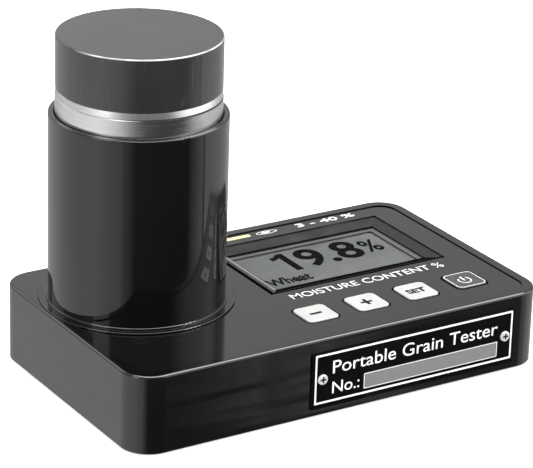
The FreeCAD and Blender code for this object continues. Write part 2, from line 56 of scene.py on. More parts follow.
def top_of(node):
    """Highest level of a CAD node, in millimetres."""
    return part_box(node)[1].z / MM


def centre_of(node):
    """Middle of a CAD node's box, in millimetres."""
    low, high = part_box(node)
    return (low + high) / 2 / MM


# Shader graphs ---------------------------------------------------------------------------------

class Graph:
    """One material; lengths are in millimetres of the object's own space."""

    def __init__(self, name):
        self.material = bpy.data.materials.new(name)
        self.material.use_nodes = True
        self.tree = self.material.node_tree
        self.tree.nodes.clear()
        self.out = self.add("OutputMaterial")
        self.shader = self.add("BsdfPrincipled")
        self.tree.links.new(self.shader.outputs["BSDF"], self.out.inputs["Surface"])
        self.place = self.add("TexCoord").outputs["Object"]

    def add(self, kind, **settings):
        node = self.tree.nodes.new("ShaderNode" + kind)
        for key, value in settings.items():
            setattr(node, key, value)
        return node

    def put(self, socket, value):
        if isinstance(value, bpy.types.NodeSocket):
            self.tree.links.new(value, socket)
        elif isinstance(value, (tuple, list)) and socket.type == "RGBA" and len(value) == 3:
            socket.default_value = (*value, 1.0)
        else:
            socket.default_value = value

    def set(self, **values):
        for key, value in values.items():
            self.put(self.shader.inputs[key.replace("_", " ")], value)

    def mapped(self, size, stretch=(1, 1, 1), shift=0.0, turn=(0, 0, 0)):
        """Object coordinates in steps of size millimetres, longer where stretched."""
        node = self.add("Mapping")
        self.put(node.inputs["Vector"], self.place)
        node.inputs["Scale"].default_value = [1000 / size / s for s in stretch]
        node.inputs["Location"].default_value = (shift, shift * 1.7, shift * 0.6)
        node.inputs["Rotation"].default_value = [math.radians(t) for t in turn]
        return node.outputs["Vector"]

    def noise(self, size, detail=3.0, stretch=(1, 1, 1), shift=0.0, distortion=0.0, rough=0.55,
              turn=(0, 0, 0)):
        node = self.add("TexNoise")
        self.put(node.inputs["Vector"], self.mapped(size, stretch, shift, turn))
        node.inputs["Scale"].default_value = 1.0
        node.inputs["Detail"].default_value = detail
        node.inputs["Roughness"].default_value = rough
        node.inputs["Distortion"].default_value = distortion
        return node.outputs["Fac"]

    def cells(self, size, feature="F1", shift=0.0, metric="EUCLIDEAN", stretch=(1, 1, 1)):
        node = self.add("TexVoronoi", feature=feature, distance=metric)
        self.put(node.inputs["Vector"], self.mapped(size, stretch, shift))
        node.inputs["Scale"].default_value = 1.0
        return node.outputs["Distance"]

    def math(self, operation, a, b=0.5, clamp=False):
        node = self.add("Math", operation=operation, use_clamp=clamp)
        self.put(node.inputs[0], a)
        self.put(node.inputs[1], b)
        return node.outputs[0]

    def span(self, value, low, high, to_low=0.0, to_high=1.0):
        """Carries low to to_low and high to to_high, with a smooth step between them."""
        node = self.add("MapRange", interpolation_type="SMOOTHSTEP")
        for key, item in (("Value", value), ("From Min", low), ("From Max", high),
                          ("To Min", to_low), ("To Max", to_high)):
            self.put(node.inputs[key], item)
        return node.outputs["Result"]

    def mix(self, factor, a, b):
        node = self.add("Mix", data_type="RGBA")
        self.put(node.inputs[0], factor)
        self.put(node.inputs[6], a)
        self.put(node.inputs[7], b)
        return node.outputs[2]

    def axis(self, which):
        """One object coordinate in millimetres."""
        node = self.add("SeparateXYZ")
        self.put(node.inputs[0], self.place)
        return self.math("MULTIPLY", node.outputs["XYZ".index(which)], 1000.0)

    def bump(self, height, distance, strength=1.0, below=None):
        node = self.add("Bump")
        node.inputs["Distance"].default_value = distance * MM
        node.inputs["Strength"].default_value = strength
        self.put(node.inputs["Height"], height)
        if below is not None:
            self.put(node.inputs["Normal"], below)
        return node.outputs["Normal"]

    def edges(self, radius, low=0.02, high=0.3):
        """1 along convex and concave edges, within about radius millimetres."""
        soft = self.add("Bevel", samples=4)
        soft.inputs["Radius"].default_value = radius * MM
        dot = self.add("VectorMath", operation="DOT_PRODUCT")
        self.put(dot.inputs[0], soft.outputs["Normal"])
        self.put(dot.inputs[1], self.add("NewGeometry").outputs["Normal"])
        return self.span(self.math("SUBTRACT", 1.0, dot.outputs["Value"]), low, high)

    def hairlines(self, length=30.0, width=0.16, turn=0.0, shift=0.0, amount=0.70):
        """Sparse fine scratches in two directions."""
        lines = []
        for extra in (0.0, 63.0):
            fine = self.noise(width, 1.0, (length / width, 1, length / width), shift + extra, 0.0, 0.4,
                              (0, turn, turn + extra))
            patch = self.noise(35.0, 1.0, shift=shift + 7 + extra)
            lines.append(self.math("MULTIPLY", self.span(fine, amount, amount + 0.05),
                                   self.span(patch, 0.5, 0.62)))
        return self.math("MAXIMUM", lines[0], lines[1])

    def prints(self, spacing=52.0, shift=3.0):
        """A few faint finger marks with their ridges."""
        spot = self.span(self.cells(spacing, shift=shift), 0.10, 0.17, 1.0, 0.0)
        wave = self.add("TexWave", wave_type="RINGS", rings_direction="SPHERICAL")
        self.put(wave.inputs["Vector"], self.mapped(spacing, shift=shift))
        wave.inputs["Scale"].default_value = spacing * 0.45
        wave.inputs["Distortion"].default_value = 9.0
        wave.inputs["Detail"].default_value = 1.0
        ridges = self.span(wave.outputs["Fac"], 0.3, 0.7)
        return self.math("MULTIPLY", spot, self.span(ridges, 0.0, 1.0, 0.35, 1.0))

    def total(self, *parts):
        value = parts[0]
        for part in parts[1:]:
            value = self.math("ADD", value, part)
        return value

    def scaled(self, value, factor):
        return self.math("MULTIPLY", value, factor)


def grey(level):
    return level, level, level


def shade(colour, factor):
    return tuple(c * factor for c in colour)


def gloss_plastic(name, colour, rough, shift=0.0, streak=0.0):
    """Moulded high-gloss plastic: slight waviness, orange peel, smears, finger marks and hairlines.

    A streak above 0 adds long low ripples that draw reflections out sideways.
    """
    g = Graph(name)
    broad = g.noise(60.0, 2.0, shift=shift)
    smear = g.noise(24.0, 4.0, (1.0, 1.0, 2.6), shift + 2, 0.6)
    lines = g.hairlines(shift=shift)
    edge = g.edges(0.5)
    worn = g.math("MULTIPLY", edge, g.span(g.noise(9.0, 3.0, shift=shift + 5), 0.45, 0.65))
    dust = g.span(g.cells(3.4, shift=shift + 1), 0.02, 0.05, 1.0, 0.0)
    dust = g.math("MULTIPLY", dust, g.span(g.noise(30.0, 2.0, shift=shift + 9), 0.5, 0.62))
    tone = g.mix(g.span(broad, 0.3, 0.7), shade(colour, 0.82), shade(colour, 1.2))
    tone = g.mix(g.scaled(worn, 0.5), tone, shade(colour, 2.6))
    tone = g.mix(g.scaled(dust, 0.35), tone, (0.28, 0.28, 0.27))
    marks = g.prints(shift=shift + 4)
    gloss = g.total(g.span(smear, 0.35, 0.75, rough * 0.75, rough * 1.7), g.scaled(lines, 0.16),
                    g.scaled(marks, 0.10), g.scaled(worn, 0.12), g.scaled(dust, 0.3))
    peel = g.bump(g.noise(1.7, 1.5, shift=shift), 0.006, 0.35)
    sink = g.bump(g.noise(46.0, 1.0, (1.6, 1.6, 0.8), shift + 6), 0.5, 0.5, peel)
    if streak:
        sink = g.bump(g.noise(17.0, 1.5, (11, 11, 1), shift + 11), streak, 1.0, sink)
    scratch = g.bump(lines, -0.01, 0.5, sink)
    g.set(Base_Color=tone, Roughness=gloss, Normal=scratch, IOR=1.5)
    return g.material


def satin_plastic(name, colour, rough, grain=0.35, depth=0.02, shift=0.0, worn=0.6, prints=0.05,
                  specular=0.5, cap_edge_painted_highlight=False):
    """Moulded plastic with a fine spark-eroded grain, rubbed smooth and lighter on its edges.

    The cap edge option paints a highlight: a pale band round the front of the lid's upper edge, fading
    towards the back.
    """
    g = Graph(name)
    broad = g.noise(38.0, 3.0, shift=shift)
    pores = g.noise(grain, 2.0, shift=shift + 1)
    smear = g.noise(17.0, 4.0, (1, 1, 1.8), shift + 2, 0.5)
    rub = g.math("MULTIPLY", g.edges(0.6), g.span(g.noise(7.0, 4.0, shift=shift + 3), 0.35, 0.6))
    lines = g.hairlines(22.0, 0.2, 25.0, shift + 8, 0.71)
    tone = g.mix(g.span(broad, 0.3, 0.7), shade(colour, 0.84), shade(colour, 1.16))
    tone = g.mix(g.span(pores, 0.3, 0.7), tone, g.mix(0.5, tone, shade(colour, 1.5)))
    tone = g.mix(g.scaled(rub, worn), tone, g.mix(0.5, shade(colour, 2.2), (0.12, 0.12, 0.12)))
    # Painted highlight: a pale band round the front of the lid's upper edge, fading towards the back
    if cap_edge_painted_highlight:
        height = g.axis("Z")
        top = top_of("lid_cap")
        front = centre_of("lid_cap").y - 4.5
        band = g.math("MULTIPLY", g.span(height, top - 0.7, top - 0.45),
                      g.span(height, top - 0.1, top - 0.02, 1.0, 0.0))
        reach = g.math("MULTIPLY", g.span(g.axis("Y"), front - 16.0, front, 1.0, 0.0), band)
        reach = g.math("MULTIPLY", reach, g.span(g.noise(16.0, 2.0, shift=shift + 5), 0.25, 0.5, 0.35, 1.0))
        tone = g.mix(reach, tone, (0.62, 0.62, 0.62))
    tone = g.mix(g.scaled(lines, 0.25), tone, (0.2, 0.2, 0.2))
    gloss = g.total(g.span(smear, 0.3, 0.75, rough * 0.85, rough * 1.2), g.scaled(rub, -0.10),
                    g.scaled(g.prints(44.0, shift + 2), -prints))
    fine = g.bump(pores, depth, 0.6)
    surface = g.bump(lines, -0.012, 0.5, fine)
    g.set(Base_Color=tone, Roughness=gloss, Normal=surface, IOR=1.49, Specular_IOR_Level=specular)
    return g.material


def printed_sheet(name, colour, rough):
    """Printed polycarbonate sheet: fine velvet texture under a smooth gloss."""
    g = Graph(name)
    velvet = g.noise(0.22, 2.0)
    broad = g.noise(70.0, 2.0, shift=4)
    smear = g.noise(30.0, 4.0, (1.8, 1, 1), 2.0, 0.7)
    lines = g.hairlines(26.0, 0.15, 12.0, 3.0, 0.70)
    tone = g.mix(g.span(broad, 0.3, 0.7), shade(colour, 0.85), shade(colour, 1.18))
    tone = g.mix(g.span(velvet, 0.35, 0.65), tone, g.mix(0.5, tone, shade(colour, 1.5)))
    tone = g.mix(g.scaled(lines, 0.3), tone, (0.16, 0.16, 0.16))
    gloss = g.total(g.span(smear, 0.35, 0.75, rough * 0.85, rough * 1.25), g.scaled(lines, 0.12),
                    g.scaled(g.prints(56.0, 9.0), 0.06))
    fine = g.bump(velvet, 0.004, 0.4)
    g.set(Base_Color=tone, Roughness=gloss, Normal=g.bump(g.noise(55.0, 1.0, shift=8), 0.25, 0.5, fine),
          IOR=1.5)
    return g.material


def key_plastic(name, colour, rough, shift):
    """Satin key: soft dirt towards the rim, uneven gloss and fine grain."""
    g = Graph(name)
    pores = g.noise(0.3, 2.0)
    broad = g.noise(6.0, 3.0, shift=shift)
    rim = g.edges(0.5, 0.01, 0.2)
    tone = g.mix(g.span(broad, 0.3, 0.7), shade(colour, 0.94), shade(colour, 1.03))
    tone = g.mix(g.scaled(g.span(pores, 0.55, 0.75), 0.15), tone, shade(colour, 0.8))
    tone = g.mix(g.scaled(rim, 0.16), tone, shade(colour, 0.72))
    smear = g.noise(5.0, 4.0, shift=shift + 3, distortion=0.8)
    gloss = g.span(smear, 0.3, 0.7, rough * 0.75, rough * 1.2)
    g.set(Base_Color=tone, Roughness=gloss, Normal=g.bump(pores, 0.012, 0.5), IOR=1.49)
    return g.material


def printed_ink(name, colour, rough=0.4, specular=0.5):
    """Screen-printed ink with a slightly uneven film."""
    g = Graph(name)
    film = g.noise(0.5, 3.0)
    patch = g.noise(7.0, 2.0, shift=5)
    tone = g.mix(g.span(film, 0.3, 0.75), colour, shade(colour, 0.86))
    tone = g.mix(g.span(patch, 0.4, 0.7, 0.0, 0.5), tone, shade(colour, 0.9))
    gloss = g.span(patch, 0.3, 0.7, rough * 0.8, rough * 1.25)
    g.set(Base_Color=tone, Roughness=gloss, Normal=g.bump(film, 0.01, 0.5), Specular_IOR_Level=specular)
    return g.material


def turned_metal(name, colour, rough, pitch=0.16, aniso=0.75, shift=0.0, depth=0.004, bright=0.12,
                 metallic=1.0, groove=None):
    """Lathe-turned stock: rings of tool marks round an upright axis, light stain and small nicks.

    A groove is the height of the cup's groove, darkened there as painted shade, least of all at the left.
    """
    g = Graph(name)
    rings = g.noise(pitch, 3.0, (400, 400, 1), shift, 0.0, 0.7)
    wide = g.noise(2.2, 2.0, (60, 60, 1), shift + 4)
    stain = g.noise(16.0, 4.0, (1, 1, 0.6), shift + 2, 0.5)
    nicks = g.span(g.cells(2.6, shift=shift + 1), 0.03, 0.07, 1.0, 0.0)
    nicks = g.math("MULTIPLY", nicks, g.span(g.noise(14.0, 2.0, shift=shift + 6), 0.5, 0.6))
    tone = g.mix(g.span(rings, 0.3, 0.7), shade(colour, 1 - bright), shade(colour, 1 + bright * 0.6))
    tone = g.mix(g.span(wide, 0.4, 0.7, 0.0, 0.35), tone, shade(colour, 0.8))
    tone = g.mix(g.span(stain, 0.5, 0.75, 0.0, 0.4), tone, shade(colour, 0.78))
    tone = g.mix(g.scaled(nicks, 0.5), tone, shade(colour, 0.45))
    gloss = g.total(g.span(rings, 0.25, 0.75, rough * 0.7, rough * 1.25),
                    g.span(stain, 0.4, 0.75, 0.0, 0.08))
    if groove is not None:
        # Painted shade along the groove, fading out towards the left
        away = g.math("ABSOLUTE", g.math("SUBTRACT", g.axis("Z"), groove))
        groove_shade = g.span(away, 0.28, 0.46, 1.0, 0.0)
        axis_x = centre_of("measuring_cylinder").x
        groove_shade_fade = g.span(g.axis("X"), axis_x - 27.0, axis_x - 14.0, 0.25, 1.0)
        groove_shade = g.math("MULTIPLY", groove_shade, groove_shade_fade)
        tone = g.mix(groove_shade, tone, shade(colour, 0.05))
        gloss = g.math("ADD", gloss, g.scaled(groove_shade, 0.3))
    surface = g.bump(rings, depth, 0.6)
    surface = g.bump(nicks, -0.03, 0.6, surface)
    tangent = g.add("Tangent", direction_type="RADIAL", axis="Z")
    g.set(Base_Color=tone, Roughness=gloss, Normal=surface, Metallic=metallic, Anisotropic=aniso,
          Tangent=tangent.outputs["Tangent"])
    return g.material


def plated_metal(name, colour, rough, grain=0.5, shift=0.0, stretch=(1, 1, 1), tarnish=0.5,
                 metallic=1.0):
    """Plated or passivated metal: mottled film, brightened edges and small scratches."""
    g = Graph(name)
    film = g.noise(2.4, 4.0, shift=shift, distortion=0.4)
    fine = g.noise(grain, 2.0, stretch, shift + 2)
    rub = g.edges(0.25)
    lines = g.hairlines(9.0, 0.08, 40.0, shift, 0.66)
    tone = g.mix(g.span(film, 0.35, 0.7), colour, shade(colour, 1 - 0.35 * tarnish))
    tone = g.mix(g.scaled(rub, 0.6), tone, shade(colour, 1.25))
    tone = g.mix(g.scaled(lines, 0.5), tone, shade(colour, 0.6))
    gloss = g.total(g.span(film, 0.3, 0.75, rough * 0.75, rough * 1.35), g.scaled(rub, -0.06))
    g.set(Base_Color=tone, Roughness=gloss, Normal=g.bump(fine, 0.006, 0.6), Metallic=metallic)
    return g.material


def circuit_board(name):
    """Solder mask over copper tracks, with tinned vias."""
    g = Graph(name)
    flat = (1, 1, 40)
    tracks = g.cells(3.1, "F1", 0.0, "MANHATTAN", flat)
    lane = g.cells(5.3, "DISTANCE_TO_EDGE", 3.0, "EUCLIDEAN", flat)
    copper = g.math("MAXIMUM", g.span(tracks, 0.42, 0.46), g.span(lane, 0.05, 0.08, 1.0, 0.0))
    via = g.cells(3.1, "F1", 0.0, "EUCLIDEAN", flat)
    ring = g.span(via, 0.10, 0.13, 1.0, 0.0)
    hole = g.span(via, 0.05, 0.07, 1.0, 0.0)
    glass = g.noise(0.5, 2.0, (1, 1, 8))
    tone = g.mix(copper, (0.010, 0.085, 0.035), (0.022, 0.17, 0.065))
    tone = g.mix(g.span(glass, 0.35, 0.7, 0.0, 0.4), tone, (0.008, 0.06, 0.03))
    tone = g.mix(ring, tone, (0.68, 0.66, 0.6))
    tone = g.mix(hole, tone, (0.02, 0.02, 0.02))
    relief = g.bump(copper, 0.03, 0.8)
    relief = g.bump(ring, 0.05, 0.6, relief)
    metal = g.math("SUBTRACT", ring, hole, True)
    g.set(Base_Color=tone, Roughness=g.span(g.noise(11.0, 3.0, shift=2), 0.3, 0.7, 0.22, 0.42),
          Metallic=metal, Normal=relief)
    return g.material


def rubber(name, colour, rough=0.7, cell=0.5, depth=0.05, shift=0.0, specular=0.5, bloomed=0.6):
    """Rubber or closed-cell foam: open matt texture with pale bloom and rubbed edges."""
    g = Graph(name)
    pores = g.cells(cell, shift=shift)
    bloom = g.noise(8.0, 4.0, shift=shift + 3)
    rub = g.edges(0.5)
    tone = g.mix(g.span(bloom, 0.4, 0.75), colour, g.mix(bloomed, colour, (0.14, 0.14, 0.135)))
    tone = g.mix(g.span(pores, 0.1, 0.5, 0.5, 0.0), tone, shade(colour, 0.4))
    tone = g.mix(g.scaled(rub, 0.58 * bloomed), tone, (0.16, 0.16, 0.155))
    g.set(Base_Color=tone, Roughness=g.span(bloom, 0.3, 0.7, rough * 0.9, min(1.0, rough * 1.15)),
          Normal=g.bump(pores, depth, 0.7), Specular_IOR_Level=specular)
    return g.material


def clear_window(name):
    """Coated acrylic window: passes light, with faint smears that show in its gloss."""
    g = Graph(name)
    g.tree.nodes.remove(g.shader)
    smear = g.noise(12.0, 4.0, (1.6, 1, 1), 3.0, 0.6)
    clear = g.add("BsdfTransparent")
    g.put(clear.inputs["Color"], g.mix(g.span(smear, 0.4, 0.7), (0.97, 0.98, 0.975), (0.93, 0.94, 0.94)))
    gloss = g.add("BsdfGlossy")
    g.put(gloss.inputs["Color"], (0.09, 0.09, 0.095))
    g.put(gloss.inputs["Roughness"], g.total(g.span(smear, 0.35, 0.75, 0.05, 0.16),
                                             g.scaled(g.prints(40.0, 2.0), 0.12)))
    g.put(gloss.inputs["Normal"], g.bump(g.noise(30.0, 1.0, shift=1), 0.1, 0.4))
    rim = g.add("Fresnel")
    rim.inputs["IOR"].default_value = 1.49
    outside = g.math("SUBTRACT", 1.0, g.add("NewGeometry").outputs["Backfacing"])
    blend = g.add("MixShader")
    g.put(blend.inputs[0], g.math("MULTIPLY", rim.outputs["Fac"], outside))
    g.put(blend.inputs[1], clear.outputs["BSDF"])
    g.put(blend.inputs[2], gloss.outputs["BSDF"])
    g.put(g.out.inputs["Surface"], blend.outputs["Shader"])
    return g.material


def display_film(name, colour):
    """Grey display film with its faint dot grid, cell tint and slight unevenness."""
    g = Graph(name)
    half_dot_pitch = 0.58
    grid_x = g.math("PINGPONG", g.scaled(g.axis("X"), 1 / half_dot_pitch), 1.0)
    grid_y = g.math("PINGPONG", g.scaled(g.axis("Y"), 1 / half_dot_pitch), 1.0)
    gap = g.math("MAXIMUM", g.span(grid_x, 0.88, 0.97), g.span(grid_y, 0.88, 0.97))
    cloud = g.noise(28.0, 3.0, shift=2)
    haze = g.noise(0.3, 2.0)
    tone = g.mix(g.span(cloud, 0.3, 0.7), shade(colour, 0.93), shade(colour, 1.07))
    tone = g.mix(g.scaled(gap, 0.10), tone, shade(colour, 1.35))
    tone = g.mix(g.span(haze, 0.35, 0.7, 0.0, 0.15), tone, shade(colour, 0.8))
    g.set(Base_Color=tone, Roughness=g.span(g.noise(10.0, 3.0), 0.3, 0.7, 0.42, 0.6),
          Normal=g.bump(haze, 0.005, 0.4), Specular_IOR_Level=0.25)
    return g.material


def cell_jacket(name):
    """Printed metal battery jacket: a dark body band, a lighter end band and bare steel ends."""
    g = Graph(name)
    x = g.axis("X")
    grain = g.noise(1.0, 3.0, (1, 12, 12))
    scuff = g.noise(6.0, 4.0, (3, 1, 1), 4.0)
    away = g.math("ABSOLUTE", g.math("SUBTRACT", x, centre_of("battery_cells").x))
    jacket_end, dark_end = 27.0, 15.5
    ends = g.span(away, jacket_end, jacket_end + 0.2)
    band = g.span(away, dark_end, dark_end + 0.3)
    tone = g.mix(band, (0.012, 0.03, 0.075), (0.42, 0.43, 0.44))
    tone = g.mix(g.span(scuff, 0.55, 0.7, 0.0, 0.35), tone, (0.2, 0.2, 0.2))
    tone = g.mix(g.span(grain, 0.4, 0.7, 0.0, 0.15), tone, (0.02, 0.02, 0.02))
    tone = g.mix(ends, tone, (0.62, 0.61, 0.58))
    g.set(Base_Color=tone, Roughness=g.span(scuff, 0.3, 0.7, 0.22, 0.42), Metallic=ends,
          Normal=g.bump(grain, 0.01, 0.5))
    return g.material


def ribbon_cable(name):
    """Grey flat cable: one rounded ridge per wire, one edge marked."""
    g = Graph(name)
    y = g.axis("Y")
    half_wire_pitch = 0.635
    ridge = g.math("PINGPONG", g.scaled(y, 1 / half_wire_pitch), 1.0)
    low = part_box("signal_ribbon")[0].y / MM
    mark = g.span(y, low + 1.1, low + 1.25, 1.0, 0.0)
    tone = g.mix(g.span(g.noise(5.0, 3.0), 0.3, 0.7), (0.36, 0.36, 0.37), (0.44, 0.44, 0.45))
    tone = g.mix(mark, tone, (0.35, 0.03, 0.03))
    tone = g.mix(g.span(ridge, 0.75, 1.0, 0.0, 0.5), tone, (0.16, 0.16, 0.165))
    g.set(Base_Color=tone, Roughness=g.span(g.noise(3.0, 2.0), 0.3, 0.7, 0.38, 0.55),
          Normal=g.bump(g.math("SUBTRACT", 1.0, ridge), 0.25, 0.8))
    return g.material


# Materials, by the CAD's names; lengths in millimetres, and each shift gives a pattern of its own
GROOVE_HEIGHT = 127.0
BLACK = (0.003, 0.003, 0.0032)

materials = {
    "gloss_black": gloss_plastic("gloss_black_abs", BLACK, rough=0.07, streak=0.42),
    "satin_black": satin_plastic("satin_black_cap", (0.017, 0.017, 0.0178), rough=0.16, grain=0.4,
                                 depth=0.005, shift=2.0, worn=0.2, cap_edge_painted_highlight=True),
    "surround_black": satin_plastic("display_surround", (0.008, 0.008, 0.0084), rough=0.30, depth=0.012,
                                    shift=5.0, worn=0.3, specular=0.32),
    "cover_black": satin_plastic("underside_spark_texture", (0.022, 0.022, 0.023), rough=0.5, grain=0.45,
                                 depth=0.05, shift=7.0, worn=0.5),
    "front_sheet": printed_sheet("front_sheet_print", (0.004, 0.004, 0.0042), rough=0.10),
    "key_white": key_plastic("key_white_satin", (0.48, 0.48, 0.47), rough=0.42, shift=1.0),
    "key_dark": key_plastic("key_dark_satin", (0.035, 0.035, 0.037), rough=0.36, shift=2.0),
    "aluminium": turned_metal("turned_aluminium", (0.53, 0.53, 0.535), rough=0.22, groove=GROOVE_HEIGHT),
    "steel": plated_metal("zinc_plated_steel", grey(0.58), rough=0.3),
    "spring_steel": plated_metal("nickel_plated_steel", (0.66, 0.65, 0.62), rough=0.2, grain=0.3,
                                 shift=3.0, stretch=(8, 1, 1), tarnish=0.3),
    "plate_black": satin_plastic("plate_black_enamel", (0.002, 0.002, 0.0022), rough=0.3, grain=0.5,
                                 depth=0.004, shift=9.0, worn=0.1, specular=0.05),
    "clear": clear_window("coated_clear_acrylic"),
    "lcd_grey": display_film("display_glass_cell", (0.20, 0.205, 0.195)),
    "polarizer": display_film("display_film", grey(0.15)),
    "backlight": satin_plastic("milky_light_guide", (0.72, 0.72, 0.68), rough=0.4, grain=0.8,
                               depth=0.01, shift=3.0, worn=0.1),
    "board": circuit_board("circuit_board_green"),
    "component": satin_plastic("component_epoxy", (0.02, 0.02, 0.021), rough=0.5, grain=0.2,
                               shift=4.0, worn=0.4),
    "insulator": turned_metal("machined_acetal", (0.62, 0.61, 0.57), rough=0.4, pitch=0.3, aniso=0.0,
                              shift=3.0, depth=0.01, bright=0.06, metallic=0.0),
    "brass": plated_metal("brass_nut", (0.72, 0.52, 0.24), rough=0.28, grain=0.4, shift=2.0,
                          tarnish=0.6),
    "rubber": rubber("foot_rubber", grey(0.022), rough=0.68, cell=0.35, depth=0.03),
    "foam": rubber("closed_cell_foam", (0.05, 0.05, 0.052), rough=0.9, cell=0.7, depth=0.15, shift=3.0),
    "cell_jacket": cell_jacket("cell_jacket_print"),
    "ribbon": ribbon_cable("grey_ribbon_cable"),
}


def dress(node, material):
    """Gives every slot of a CAD node one material."""
    for entry in nodes[node].material_slots:
        entry.material = material


for node_object in nodes.values():
    for entry in node_object.material_slots:
        entry.material = materials[entry.material.name.split(".")[0]]
dress("barrel_sleeve", gloss_plastic("gloss_black_tube", BLACK, rough=0.07, shift=20.0))
dress("nameplate_screws", plated_metal("passivated_screw", (0.72, 0.72, 0.71), rough=0.3, grain=0.4,
                                       shift=5.0, tarnish=0.3, metallic=0.5))

ink_white = printed_ink("ink_white", (0.86, 0.86, 0.85))
ink_cream = printed_ink("ink_cream", (0.80, 0.76, 0.42))
ink_dark = printed_ink("ink_dark", (0.006, 0.006, 0.0065), rough=0.5, specular=0.04)
ink_grey = printed_ink("ink_grey_field", grey(0.175), specular=0.25)
# Pale grey: painted highlight on the inner edge of the display's surround
rim_highlight_paint = printed_ink("surround_edge_painted_highlight", grey(0.19), rough=0.5, specular=0.25)
# Grey in the lit display's tone: painted light over the shaded glass under the window's lip
painted_light_margin = printed_ink("window_margin_painted_light", grey(0.088), rough=0.5, specular=0.25)
ink_segment = printed_ink("display_segment", (0.003, 0.003, 0.0035), rough=0.7, specular=0.0)
# Matt black without gloss: painted shade at the foot of the display's sloping surround
slope_shade_paint = rubber("display_slope_painted_shade", grey(0.004), rough=0.95, cell=0.3, depth=0.01, shift=6.0,
                      specular=0.0, bloomed=0.03)
# Near-black matt: painted shade in the screws' cross recesses
recess_shade_paint = rubber("screw_recess_dark", grey(0.006), rough=0.9, cell=0.3, depth=0.01, shift=8.0,
                     specular=0.1, bloomed=0.05)
# Matt black without gloss: painted shade round the display's opening and round the keys
outline_shade_ink = printed_ink("outline_painted_shade", grey(0.002), rough=0.6, specular=0.0)


# Printed pieces --------------------------------------------------------------------------------

def font_mesh(text, weight):
    """Outlines of a text as a flat 2-D mesh of height 1 per em, in the built-in font."""
    curve = bpy.data.curves.new("outline", "FONT")
    curve.body = text
    curve.size = 1.0
    curve.offset = weight
    curve.resolution_u = 6
    curve.extrude = 0.5
    holder = bpy.data.objects.new("outline", curve)
    scene.collection.objects.link(holder)
    graph = bpy.context.evaluated_depsgraph_get()
    mesh = bpy.data.meshes.new_from_object(holder.evaluated_get(graph))
    bpy.data.objects.remove(holder)
    bpy.data.curves.remove(curve)
    return mesh


def limits(mesh, axis):
    """Lowest and highest value of a mesh along one axis."""
    values = [v.co[axis] for v in mesh.vertices]
    return min(values), max(values)


def lay(name, mesh, matrix, material, body):
    """Makes a piece of a mesh whose x, y and z are mapped by the matrix into the frame."""
    mesh.transform(matrix)
    shape = bmesh.new()
    shape.from_mesh(mesh)
    bmesh.ops.remove_doubles(shape, verts=shape.verts, dist=1e-7)
    bmesh.ops.recalc_face_normals(shape, faces=shape.faces)
    shape.to_mesh(mesh)
    shape.free()
    mesh.materials.clear()
    mesh.materials.append(material)
    piece = bpy.data.objects.new(name, mesh)
    scene.collection.objects.link(piece)
    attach(piece, body)
    return piece


# Drawings are made in x and y; TOP leaves them lying, FRONT stands them up to face -Y
TOP = Matrix.Identity(4)
FRONT = Matrix(((1, 0, 0, 0), (0, 0, -1, 0), (0, 1, 0, 0), (0, 0, 0, 1)))


def words(name, text, x0, x1, low, high, level, material, body="casing", side=TOP, weight=0.0,
          thick=0.03, capital="H"):
    """Text from x0 to x1 and from its baseline low to its capitals' tops high, in millimetres."""
    mesh = font_mesh(text, weight)
    reference = font_mesh(capital, weight)
    base, cap = limits(reference, 1)
    bpy.data.meshes.remove(reference)
    left, right = limits(mesh, 0)
    fit = Matrix.Diagonal(((x1 - x0) / (right - left), (high - low) / (cap - base), thick, 1.0))
    fit = Matrix.Translation((x0, low, level + thick / 2)) @ fit @ Matrix.Translation((-left, -base, 0))
    return lay(name, mesh, Matrix.Scale(MM, 4) @ side @ fit, material, body)


def rounded_loop(x0, x1, y0, y1, radius, steps=2):
    """Points of a rectangle with rounded corners, counter-clockwise."""
    points = []
    for cx, cy, start in ((x1 - radius, y1 - radius, 0), (x0 + radius, y1 - radius, 90),
                          (x0 + radius, y0 + radius, 180), (x1 - radius, y0 + radius, 270)):
        for i in range(steps + 1):
            angle = math.radians(start + 90 * i / steps)
            points.append((cx + radius * math.cos(angle), cy + radius * math.sin(angle)))
    return points


def centred_loop(middle, half_x, half_y, radius, steps=2):
    """A rounded rectangle about a middle, given by half its length and half its width."""
    return rounded_loop(middle.x - half_x, middle.x + half_x, middle.y - half_y, middle.y + half_y,
                        radius, steps)


def ellipse(cx, cy, rx, ry, steps=32):
    return [(cx + rx * math.cos(2 * math.pi * i / steps), cy + ry * math.sin(2 * math.pi * i / steps))
            for i in range(steps)]


def cross_points(cx, cy, arm, stroke):
    """Corners of an upright cross; arm is its half length and stroke its half width."""
    corners = [(-arm, -stroke), (-stroke, -stroke), (-stroke, -arm), (stroke, -arm), (stroke, -stroke),
               (arm, -stroke), (arm, stroke), (stroke, stroke), (stroke, arm), (-stroke, arm),
               (-stroke, stroke), (-arm, stroke)]
    return [(cx + a, cy + b) for a, b in corners]


